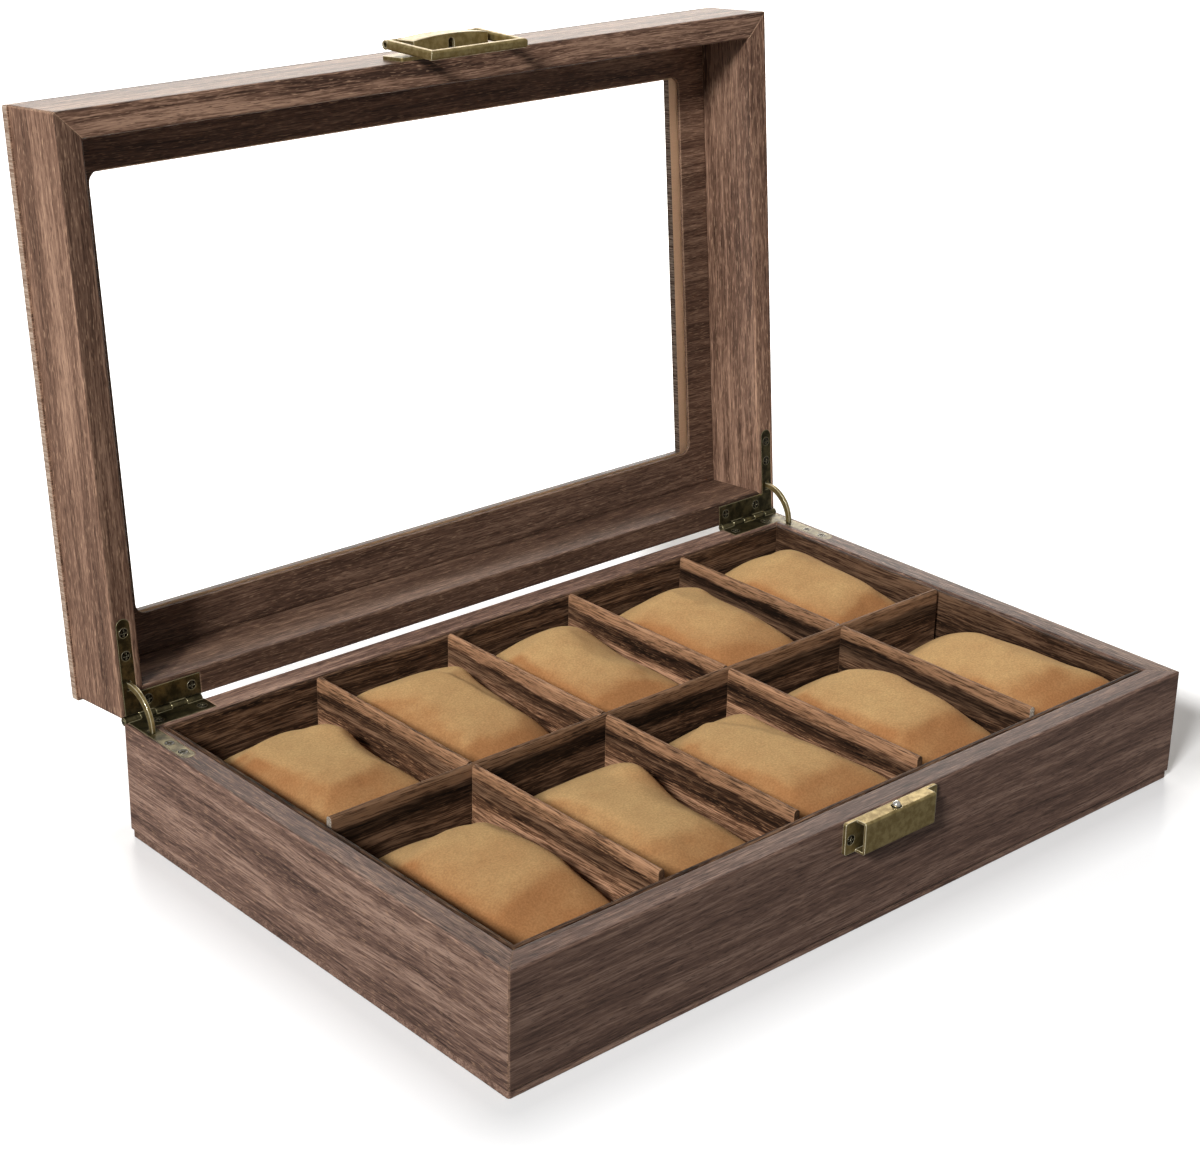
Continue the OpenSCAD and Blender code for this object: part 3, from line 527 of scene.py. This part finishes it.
# Painted shade: the window frame is darkened. Painted light: it grows lighter upwards on the open lid.
clad(["window_frame"], "walnut_wrap_window", "x",
     [dict(factor=(1.0, 1.8), axis="Z", span=(RIM_Z + HALF_D, RIM_Z + 2 * HALF_D))],
     shade=0.58, seed=5.0, **ON_LID)

# %% [markdown]
# The top panel is wrapped on its outer face only. Its cut edges show the core of the board in fine ticks, pale
# outside. In the window's opening they are painted dark, as painted shade: darker ticks on the edges that look
# sideways, and one flat dark colour on those that look up and down. Its inner face is bare and pale where the
# glass lies against it.

# %% Wrap the top panel
TICK_SCALE = (2000, 2000, 130)
EDGE_DARK, EDGE_LIGHT = rgb(132, 104, 86), rgb(202, 180, 160)
OPENING_SHADE, SHADED_TICK_DARK, SHADED_TICK_LIGHT = rgb(60, 42, 32), rgb(58, 42, 34), rgb(160, 140, 122)
BARE_FACE = rgb(226, 182, 144)

panel, n, shader = grain_wrap("walnut_top_panel", "x", seed=10.0, **ON_LID)
skin = shader.inputs["Base Color"].links[0].from_socket
out = n.vector_math("DOT_PRODUCT", n.coordinate("Normal"), LID_OUT)
sideways = n.fit(n.math("ABSOLUTE", n.parts(n.coordinate("Normal"))["X"]), 0.5, 0.9)
inwards = n.fit(n.math("ABSOLUTE", n.parts(n.coordinate("Object"))["X"]), HALF_W - 0.004, HALF_W - 0.008)
ticks = n.noise(n.mapped(lid_space(n, n.coordinate("Object")), scale=TICK_SCALE), 1.0, 2.0, 0.6)
edge = n.ramp(ticks, [(0.36, EDGE_DARK), (0.66, EDGE_LIGHT)])
# Painted shade: the edges in the window's opening.
opening = n.mix(sideways, OPENING_SHADE, n.ramp(ticks, [(0.40, SHADED_TICK_DARK), (0.70, SHADED_TICK_LIGHT)]))
inner_face = n.mix(n.math("MULTIPLY", inwards, 0.85), skin, BARE_FACE)
bare = n.mix(n.fit(out, -0.5, -0.7), n.mix(inwards, edge, opening), inner_face)
n.put(shader.inputs["Base Color"], n.mix(n.fit(out, 0.7, 0.5), skin, bare))
finish_node("top_panel", panel)
print("walnut_top_panel: top_panel, with bare edges and inner face")

# %% [markdown]
# Inside, the linings and dividers are thin board in a darker sheet with closer, stronger bands. The first three
# cross dividers are painted lighter than the linings, as painted light, and their front faces are painted dark, as
# painted shade. The long divider is painted darker towards the left wall, as painted shade, and a highlight is
# painted along the top edge of every divider.

# %% Line the inside and wrap the dividers
INNER = dict(tones=INSIDE, layers=(1.7, 0.9, 2.0), band=0.0050)

clad(["front_lining", "back_lining", "floor_lining"], "walnut_lining_long", "x", shade=0.60, seed=6.0, **INNER)
clad(["left_lining", "right_lining"], "walnut_lining_short", "y", shade=0.46, seed=7.0, **INNER)
# Painted shade: the long divider is darkened, most towards the left wall.
clad(["long_divider"], "walnut_long_divider", "x", [dict(factor=(0.56, 0.84), span=ACROSS_BOX)],
     seed=12.0, core=True, crest=DIVIDER_TOP, **INNER)
# Painted light: these dividers are lightened by 65 %. Painted shade: their faces that look to the front are
# darkened to 35 %.
clad(["cross_divider_1", "cross_divider_2", "cross_divider_3"], "walnut_divider", "y",
     [dict(factor=0.35, facing=FRONT)], shade=1.65, seed=9.0, crest=DIVIDER_TOP, **INNER)
clad(["cross_divider_4"], "walnut_last_divider", "y",
     shade=0.70, seed=15.0, core=True, crest=DIVIDER_TOP, **INNER)

# %% [markdown]
# The pane is clear window glass. The Principled shader makes it with full
# transmission and no roughness, and its thickness is in the CAD solid, so
# light bends in and out of it as it does in the real one.

# %% Glass
pane, n, shader = new_material("clear_glass")
n.put(shader.inputs["Base Color"], WHITE)
n.put(shader.inputs["Transmission Weight"], 1.0)
n.put(shader.inputs["Roughness"], 0.0)
n.put(shader.inputs["IOR"], 1.45)
finish_node("window_glass", pane)
print("clear_glass: window_glass")


# %% [markdown]
# The clasp, stays and hinges are plated steel that has been aged: tarnish lies in patches. Every recess is
# darkened as painted shade, and edges are made bright, partly wear and partly a painted highlight. Ambient
# Occlusion finds the recesses and a Bevel node the edges, so these marks follow each solid's own shape.

# %% Metals
def shaded_worn_metal(name, dull, bright, rubbed_and_highlit, rough, patch=0.004, metallic=1.0):
    """Plated metal: dull patches of a given width over a brighter ground, recesses darkened as painted shade, and
    bright edges that are partly wear and partly a painted highlight.
    """
    made, n, shader = new_material(name)
    place = n.coordinate("Object")
    patches = n.noise(place, 1 / patch, 4.0, 0.6)
    specks = n.noise(place, 1 / (0.12 * patch), 2.0, 0.5)
    soft = n.add("ShaderNodeBevel", {"Radius": 0.00035}, samples=6).outputs[0]
    facing = n.vector_math("DOT_PRODUCT", soft, n.add("ShaderNodeNewGeometry").outputs["Normal"])
    edge = n.fit(facing, 0.998, 0.92)
    colour = n.mix(n.fit(patches, 0.35, 0.65), dull, bright)
    colour = n.mix(n.math("MULTIPLY", n.fit(specks, 0.45, 0.30), 0.5), colour, dull)
    # Painted shade: recesses found by Ambient Occlusion are darkened down to 30 %.
    recess_shade = n.add("ShaderNodeAmbientOcclusion", {"Distance": 0.004}, samples=4).outputs["AO"]
    colour = n.scaled(colour, n.fit(recess_shade, 0.25, 0.75, 0.30, 1.0))
    # Painted highlight, partly wear: edges are mixed towards the bright edge colour.
    n.put(shader.inputs["Base Color"], n.mix(edge, colour, rubbed_and_highlit))
    n.put(shader.inputs["Metallic"], n.math("MULTIPLY_ADD", edge, -0.4 * metallic, metallic))
    n.put(shader.inputs["Roughness"], n.blend(edge, n.fit(patches, 0.3, 0.7, rough + 0.1, rough), 0.22))
    n.bump(shader, specks, 0.25, 0.00005, soft)
    return made


brass = shaded_worn_metal("aged_brass", rgb(136, 117, 72), rgb(170, 151, 102), rgb(250, 240, 206), 0.36,
                   patch=0.0022, metallic=0.78)
bronze = shaded_worn_metal("dark_bronze", rgb(50, 45, 28), rgb(100, 91, 62), rgb(176, 165, 126), 0.30, metallic=0.88)
screw = shaded_worn_metal("black_screw", rgb(12, 11, 8), rgb(26, 23, 18), rgb(130, 122, 100), 0.14)
steel = shaded_worn_metal("bright_nickel", rgb(190, 188, 182), rgb(225, 222, 214), rgb(240, 238, 230), 0.16)
print("metals:", brass.name, bronze.name, screw.name, steel.name)

# %% Fit the metals
for metal, pieces in (
    (brass, ("catch_plate", "clasp_plate", "clasp_pin", "clasp_bail", "clasp_cover", "clasp_screws",
             "left_stay", "right_stay")),
    (bronze, ("left_base_leaf", "right_base_leaf", "left_lid_leaf", "right_lid_leaf", "left_hinge_pin",
              "right_hinge_pin")),
    (screw, ("base_leaf_screws", "lid_leaf_screws", "catch_screws")),
    (steel, ("catch_ball", "catch_spring")),
):
    for name in pieces:
        finish_node(name, metal)
    print("%s: %d pieces" % (metal.name, len(pieces)))

# %% [markdown]
# Suede is leather with its flesh side brushed up. Its colour is painted lighter where the surface faces up and
# back and darker where it turns down, as painted light and shade: a lit and a shaded colour mixed by direction,
# stirred by soft clouds and brush marks, with a fine speckle for the nap and a trace of sheen. Along the row of
# cushions it is painted a little lighter towards the right, as painted light.

# %% Suede
LIT_SIDE = (0.10, 0.45, 0.90)
SUEDE_SHADED, SUEDE_LIT = rgb(161, 112, 70), rgb(198, 162, 111)

suede, n, shader = new_material("tan_suede")
place = n.coordinate("Object")
clouds = n.noise(place, 30.0, 2.0, 0.5, 0.3)
brushed = n.noise(place, 170.0, 2.0, 0.5)
nap = n.noise(place, 1500.0, 3.0, 0.7)
# Painted light and shade: lighter on faces that look up and back, darker on those that turn down.
faces_lit_side = n.vector_math("DOT_PRODUCT", n.coordinate("Normal"), LIT_SIDE)
stirred = n.math("MULTIPLY_ADD", clouds, 0.30, n.math("MULTIPLY_ADD", brushed, 0.22, -0.26))
lit_share = n.fit(n.math("ADD", faces_lit_side, stirred), 0.46, 1.08)
speckle = n.math("MULTIPLY_ADD", n.fit(nap, 0.30, 0.70), 0.30, 0.85)
# Painted light: 5 % darker at the left end of the row, 6 % lighter at the right.
row_light = n.fit(n.parts(place)["X"], -0.13, 0.13, 0.95, 1.06)
colour = n.scaled(n.mix(lit_share, SUEDE_SHADED, SUEDE_LIT), n.math("MULTIPLY", speckle, row_light))
n.put(shader.inputs["Base Color"], colour)
n.put(shader.inputs["Roughness"], 1.0)
n.put(shader.inputs["Specular IOR Level"], 0.1)
n.put(shader.inputs["Sheen Weight"], 0.08)
n.put(shader.inputs["Sheen Roughness"], 0.5)
n.put(shader.inputs["Sheen Tint"], rgb(226, 190, 140))
n.bump(shader, n.math("ADD", nap, n.math("MULTIPLY", brushed, 2.0)), 0.4, 0.0002)
print("tan_suede:", len(suede.node_tree.nodes), "nodes")

# %% [markdown]
# A watch cushion is a foam block in a suede bag. The bag is two sheets sewn
# round the edge, so its sides pull in between pointed corners, its crown is
# full, and no two of the ten sit quite alike. Each starts as a smooth closed
# form with its own crown, lean, corner lifts and one dent or bulge. Cloth with
# air pressure then tightens the suede over it and puckers it along the seam.

# %% How each cushion sits
# crown and shoulder: heights above the table. lean: rise to the right and to the back.
# corners: lift of front left, front right, back left and back right. All in mm.
# bulge: height in mm, then its place and width as shares of the half width and length.
SITTING = {
    "front_cushion_1": dict(crown=37.0, shoulder=21.5, lean=(3.5, 2),
                            corners=(3, 0, 6.5, -1), bulge=(-7, 0.4, 1.0, 0.4)),
    "front_cushion_2": dict(crown=35.5, shoulder=25.0, lean=(-1, 0),
                            corners=(-2, 2, -2, 2.5), bulge=(6.5, 0.8, 0.5, 0.35)),
    "front_cushion_3": dict(crown=38.0, shoulder=26.5, lean=(1.5, -2),
                            corners=(0, 4.5, 0, 0), bulge=(2, 0.7, 0.6, 0.2)),
    "front_cushion_4": dict(crown=38.0, shoulder=25.0, lean=(1.5, 0),
                            corners=(0, 2.5, 0, -1.5), bulge=(2, 0.6, 0.1, 0.5)),
    "front_cushion_5": dict(crown=37.5, shoulder=25.0, lean=(4.5, -4),
                            corners=(0, 4, 0, 0), bulge=(-1.5, 0.7, -0.5, 0.25)),
    "back_cushion_1": dict(crown=37.5, shoulder=25.0, lean=(0, -2),
                           corners=(0, 3.5, 0, -1.5), bulge=(3.5, 0.7, 0.3, 0.35)),
    "back_cushion_2": dict(crown=38.0, shoulder=27.5, lean=(1, 4.5),
                           corners=(-1.5, -1, 3, -2), bulge=(3, 0.8, 0.6, 0.2)),
    "back_cushion_3": dict(crown=38.5, shoulder=26.0, lean=(3.5, 3.5),
                           corners=(0, 4, 0, -3.5), bulge=(-3, 0.8, 0.0, 0.45)),
    "back_cushion_4": dict(crown=38.5, shoulder=26.0, lean=(4.5, 1.5),
                           corners=(0, -1, 3, -2), bulge=(2, 0.8, 0.5, 0.15)),
    "back_cushion_5": dict(crown=38.5, shoulder=27.0, lean=(4, 4),
                           corners=(-3, 4, 0, 0), bulge=(-3, 0.5, 0.9, 0.25)),
}
print("crowns from %.1f to %.1f mm" % (min(sitting["crown"] for sitting in SITTING.values()),
                                       max(sitting["crown"] for sitting in SITTING.values())))

# %% The height of the upper sheet
MM = 0.001
CROWN_SQUARE, SEAM_ROLL = 3.2, 8


def cushion_heights(u, v, sitting):
    """Height in mm of the upper sheet at (u, v), each from -1 to 1 across and along.

    k = (1 - |u|^3.2)^0.5 (1 - |v|^3.2)^0.5 is 1 at the crown and 0 on the seam, and
    z = shoulder - 8 + 8 k^0.5 + (crown - shoulder) k + lean + corner lifts + bulge.
    """
    crown, shoulder = sitting["crown"], sitting["shoulder"]
    (lean_x, lean_y), (c1, c2, c3, c4) = sitting["lean"], sitting["corners"]
    rise, at_u, at_v, size = sitting["bulge"]
    k = (np.clip(1 - np.abs(u) ** CROWN_SQUARE, 0, None) ** 0.5 *
         np.clip(1 - np.abs(v) ** CROWN_SQUARE, 0, None) ** 0.5)
    z = shoulder - SEAM_ROLL + SEAM_ROLL * k ** 0.5 + (crown - shoulder) * k + lean_x * u + lean_y * v
    corner = np.where(v < 0, np.where(u < 0, c1, c2), np.where(u < 0, c3, c4))
    z = z + corner * (u * v) ** 2
    return z + rise * np.exp(-((u - at_u) ** 2 + (v - at_v) ** 2) / size ** 2) * k ** 0.5


# %% The closed form of a cushion
COLUMNS, ROWS = 31, 45
SPARE = 0.0008
SIDE_PULL, END_PULL = 0.030, 0.016
UNDER_SQUARE, UNDER_ROUND = 6, 0.7


def cushion_grid():
    """Grid of (u, v) from -1 to 1, closer towards the seam: the sine of even steps."""
    return np.meshgrid(np.sin(np.linspace(-1, 1, COLUMNS) * np.pi / 2),
                       np.sin(np.linspace(-1, 1, ROWS) * np.pi / 2), indexing="ij")


def under_heights(u, v, sitting, base):
    """Height in metres of the lower sheet, from the seam's height down to base.

    z = seam - (seam - base) k^0.7, with k = (1 - u^6)^0.5 (1 - v^6)^0.5 and the
    seam's height taken at the nearest place on the seam.
    """
    nearer_side = np.abs(u) > np.abs(v)
    seam_u = np.where(nearer_side, np.clip(u * 1e3, -1, 1), u)
    seam_v = np.where(nearer_side, v, np.clip(v * 1e3, -1, 1))
    seam = cushion_heights(seam_u, seam_v, sitting) * MM
    k = np.clip(1 - u ** UNDER_SQUARE, 0, None) ** 0.5 * np.clip(1 - v ** UNDER_SQUARE, 0, None) ** 0.5
    return seam - (seam - base) * np.clip(k, 0, 1) ** UNDER_ROUND


def cushion_form(name):
    """Points, quads and each point's seam share for one closed cushion.

    The sides pull in by 3 % of the half width and the ends by 1.6 % of the half
    length at their middles. The two sheets share the points on the seam.
    """
    low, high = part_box(name)
    centre_x, centre_y = (low.x + high.x) / 2, (low.y + high.y) / 2
    half_w, half_l = (high.x - low.x) / 2 + SPARE, (high.y - low.y) / 2 + SPARE
    u, v = cushion_grid()
    x = centre_x + half_w * u * (1 - SIDE_PULL * (1 - v ** 2) * np.abs(u) ** 3)
    y = centre_y + half_l * v * (1 - END_PULL * (1 - u ** 2) * np.abs(v) ** 3)
    top_z = cushion_heights(u, v, SITTING[name]) * MM
    on_seam = ((np.abs(u) > 0.9999) | (np.abs(v) > 0.9999)).reshape(-1)
    top = np.stack([x, y, top_z], -1).reshape(-1, 3)
    under_z = under_heights(u, v, SITTING[name], low.z)
    bottom = np.stack([x, y, under_z], -1).reshape(-1, 3)[~on_seam]

    above = np.arange(COLUMNS * ROWS)
    below = above.copy()
    below[~on_seam] = COLUMNS * ROWS + np.arange(len(bottom))
    above, below = above.reshape(COLUMNS, ROWS), below.reshape(COLUMNS, ROWS)
    upper = np.stack([above[:-1, :-1], above[1:, :-1], above[1:, 1:], above[:-1, 1:]], -1).reshape(-1, 4)
    lower = np.stack([below[:-1, :-1], below[:-1, 1:], below[1:, 1:], below[1:, :-1]], -1).reshape(-1, 4)
    seam_share = np.concatenate([on_seam.astype(float), np.zeros(len(bottom))])
    return np.concatenate([top, bottom]), np.concatenate([upper, lower]), seam_share


# %% Sew the ten cushions
def mesh_piece(name, points, faces, material):
    """A new smooth object from arrays of points and faces."""
    mesh = bpy.data.meshes.new(name)
    mesh.from_pydata([tuple(p) for p in points.tolist()], [], [tuple(f) for f in faces.tolist()])
    mesh.polygons.foreach_set("use_smooth", np.full(len(mesh.polygons), True))
    mesh.materials.append(material)
    mesh.update()
    made = bpy.data.objects.new(name, mesh)
    bpy.context.collection.objects.link(made)
    return made


cushions = {}
for name in SITTING:
    points, quads, seam = cushion_form(name)
    made = mesh_piece("suede_" + name, points, quads, suede)
    share = made.data.attributes.new("seam", "FLOAT", "POINT")
    share.data.foreach_set("value", seam)
    cushions[name] = (made, points, seam)
print("cushions:", len(cushions), "of", len(points), "points each")

# %% [markdown]
# Puckers along a stuffed seam could be drawn by hand, but cloth finds them by
# itself: the stitches draw the seam shorter, and air pressure stands in for
# the foam. Twenty steps are enough to tighten it. The result is kept in the
# mesh, with no point moved by more than 1.8 mm or out of its slot, and the
# simulation is taken off again, so that the piece is a plain mesh when it
# moves.

# %% Tighten the suede with cloth
CLOTH_STEPS = 20
SEWN_SHRINK, SHEET_SHRINK = 0.10, -0.02
MOST_MOVE = 0.0018


def sew_cloth(made, seam):
    """Adds a cloth modifier that draws the seam in and blows the bag up."""
    group = made.vertex_groups.new(name="sewn")
    for i in np.flatnonzero(seam > 0.5).tolist():
        group.add([i], 1.0, "REPLACE")
    cloth = made.modifiers.new("cloth", "CLOTH")
    cloth.point_cache.frame_start, cloth.point_cache.frame_end = 1, CLOTH_STEPS
    settings = cloth.settings
    settings.quality, settings.mass = 6, 0.25
    settings.tension_stiffness = settings.compression_stiffness = 20.0
    settings.shear_stiffness, settings.bending_stiffness = 8.0, 0.4
    settings.use_pressure, settings.uniform_pressure_force = True, 4.0
    settings.vertex_group_shrink = "sewn"
    settings.shrink_min, settings.shrink_max = SHEET_SHRINK, SEWN_SHRINK
    settings.effector_weights.gravity = 0.0
    cloth.collision_settings.use_collision = False


def keep_in_slot(placed, name):
    """Holds points above the slot's floor and within its walls."""
    low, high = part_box(name)
    placed[:, 2] = np.maximum(placed[:, 2], low.z)
    placed[:, 0] = np.clip(placed[:, 0], low.x - SPARE, high.x + SPARE)
    placed[:, 1] = np.clip(placed[:, 1], low.y - SPARE, high.y + SPARE)
    return placed


scene = bpy.context.scene
scene.frame_start, scene.frame_end = 1, CLOTH_STEPS
for made, _, seam in cushions.values():
    sew_cloth(made, seam)
for step in range(1, CLOTH_STEPS + 1):
    scene.frame_set(step)
graph = bpy.context.evaluated_depsgraph_get()
for name, (made, points, _) in cushions.items():
    shaped = np.empty(len(points) * 3)
    made.evaluated_get(graph).data.vertices.foreach_get("co", shaped)
    moved = shaped.reshape(-1, 3) - points
    reach = np.linalg.norm(moved, axis=1, keepdims=True)
    capped = moved * np.minimum(1.0, MOST_MOVE / np.maximum(reach, 1e-9))
    placed = keep_in_slot(points + capped, name)
    made.modifiers.clear()
    made.vertex_groups.clear()
    made.data.vertices.foreach_set("co", placed.reshape(-1))
    made.data.update()
    print("%s moved %.2f mm on average, crown %.1f mm" %
          (name, 1000 * reach.mean(), 1000 * placed[:, 2].max()))
scene.frame_set(1)

# %% [markdown]
# One level of subdivision rounds the last facets off. Each cushion then hides the CAD solid it stands for and is
# hung on the body that carries it when it is lifted out.

# %% Smooth the cushions and hang them on their bodies
for name, (made, _, _) in cushions.items():
    fine = made.modifiers.new("smooth", "SUBSURF")
    fine.levels = fine.render_levels = 1
    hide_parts(name)
    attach(made, name)
print("declared:", len(cushions), "padded cushions")

# %% [markdown]
# Last, the view is set to show colours as they were mixed.

# %% Set the view
bpy.context.scene.view_settings.view_transform = "Standard"
